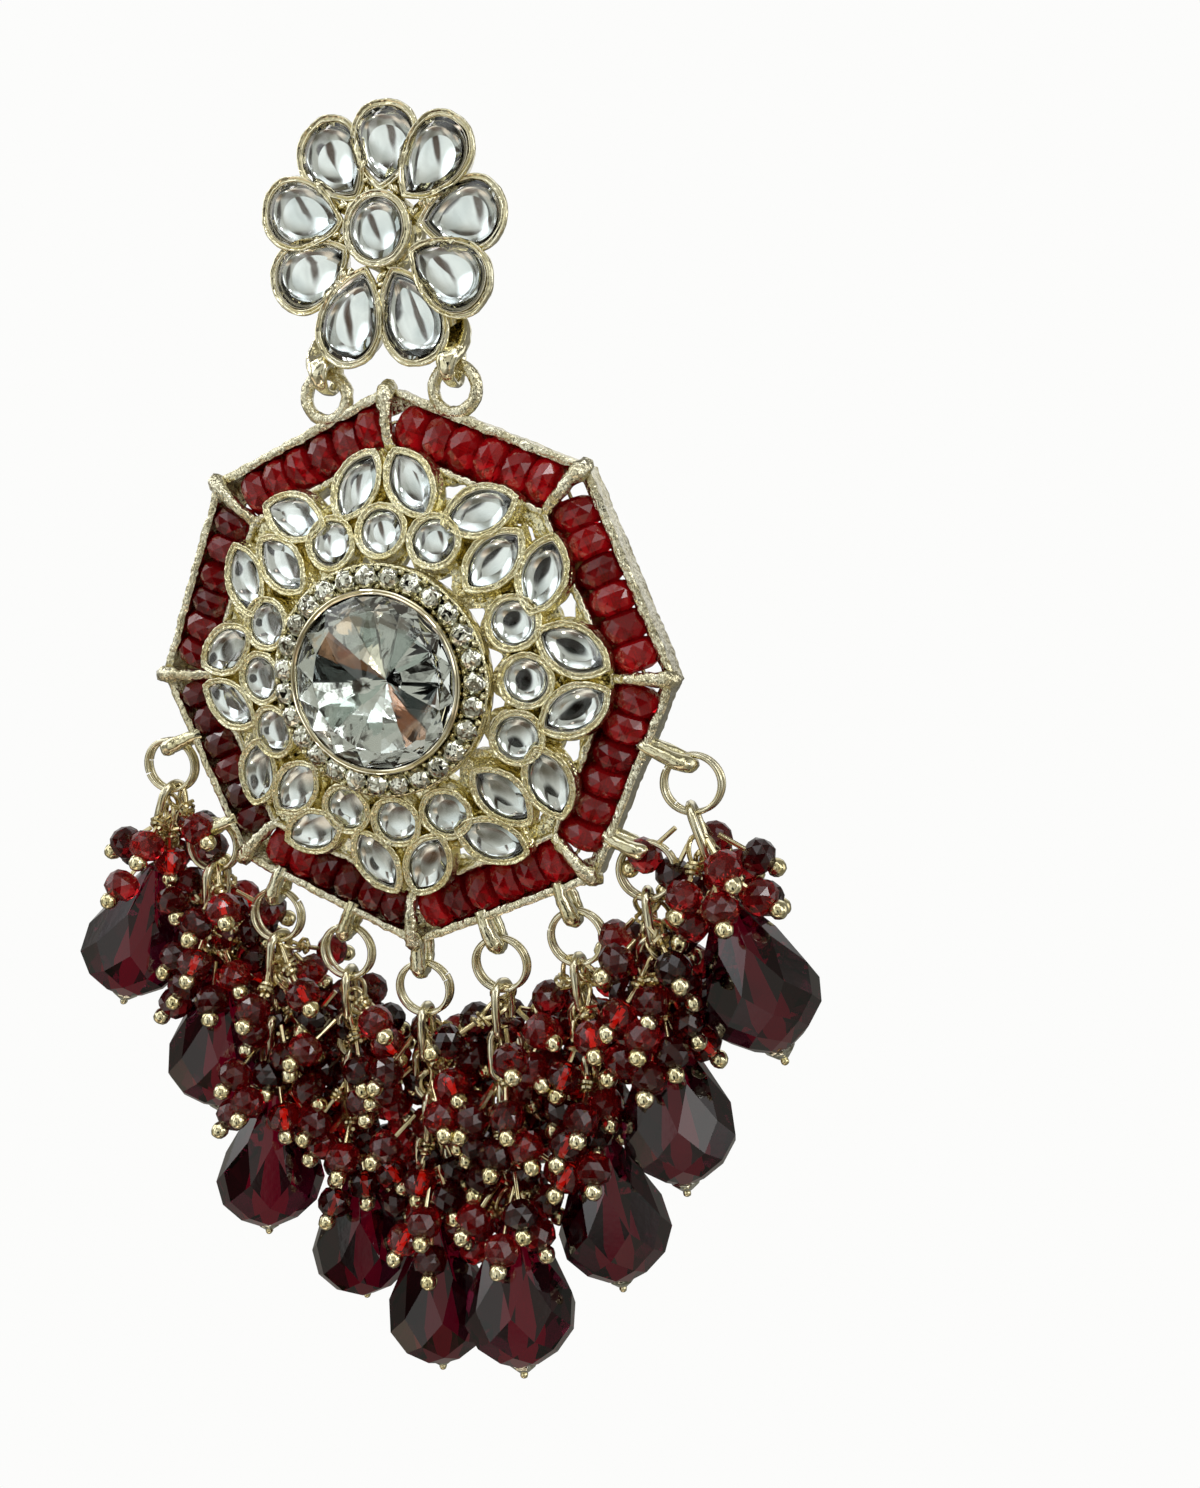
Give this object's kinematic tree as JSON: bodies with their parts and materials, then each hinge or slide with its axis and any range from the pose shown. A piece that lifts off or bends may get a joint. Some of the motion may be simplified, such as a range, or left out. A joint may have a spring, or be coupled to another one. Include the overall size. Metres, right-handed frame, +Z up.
{
  "type": "chandbali earring",
  "caption": "Drop earring: a flower stud of clear stones over an octagonal jewelled frame with a round crystal, channels of red beads and a fringe of bead clusters and faceted garnet drops.",
  "frame": {"origin": "the seat of the ear post, where the back of its pad lies against the ear lobe", "axes": "+Z up along the hanging earring, -Y the way its jewelled front looks, +Y along the ear post into the lobe, +X to the right as seen from the front"},
  "size_m": [0.0666, 0.0202, 0.1101],
  "materials": {
    "pale_gold": "cast and polished, pale antique gold plate",
    "clear_stone": "polished clear glass over silver foil",
    "red_bead": "faceted deep red glass",
    "garnet_drop": "faceted near-black garnet glass"
  },
  "bodies": {
    "stud": {"stud_frame": "pale_gold", "ear_post": "pale_gold", "petal_stone_1": "clear_stone", "petal_stone_2": "clear_stone", "petal_stone_3": "clear_stone", "petal_stone_4": "clear_stone", "petal_stone_5": "clear_stone", "petal_stone_6": "clear_stone", "petal_stone_7": "clear_stone", "petal_stone_8": "clear_stone", "petal_stone_9": "clear_stone", "centre_stone": "clear_stone"},
    "pendant": {"pendant_frame": "pale_gold", "crystal_setting": "pale_gold", "centre_crystal": "clear_stone", "bead_row_1": "red_bead", "bead_row_2": "red_bead", "bead_row_3": "red_bead", "bead_row_4": "red_bead", "bead_row_5": "red_bead", "bead_row_6": "red_bead", "bead_row_7": "red_bead", "bead_row_8": "red_bead", "jump_ring_1": "pale_gold", "bead_cluster_1": "red_bead", "drop_bead_1": "garnet_drop", "jump_ring_2": "pale_gold", "bead_cluster_2": "red_bead", "drop_bead_2": "garnet_drop", "jump_ring_3": "pale_gold", "bead_cluster_3": "red_bead", "drop_bead_3": "garnet_drop", "jump_ring_4": "pale_gold", "bead_cluster_4": "red_bead", "drop_bead_4": "garnet_drop", "jump_ring_5": "pale_gold", "bead_cluster_5": "red_bead", "drop_bead_5": "garnet_drop", "jump_ring_6": "pale_gold", "bead_cluster_6": "red_bead", "drop_bead_6": "garnet_drop", "jump_ring_7": "pale_gold", "bead_cluster_7": "red_bead", "drop_bead_7": "garnet_drop", "jump_ring_8": "pale_gold", "bead_cluster_8": "red_bead", "drop_bead_8": "garnet_drop", "jump_ring_9": "pale_gold", "bead_cluster_9": "red_bead", "drop_bead_9": "garnet_drop"}
  },
  "joints": [
    {"name": "pendant_swing", "type": "hinge", "parent": "stud", "child": "pendant", "pos_m": [0, -0.0021, -0.01085], "axis": [1, 0, 0], "range_deg": [-45, 45]}
  ]
}
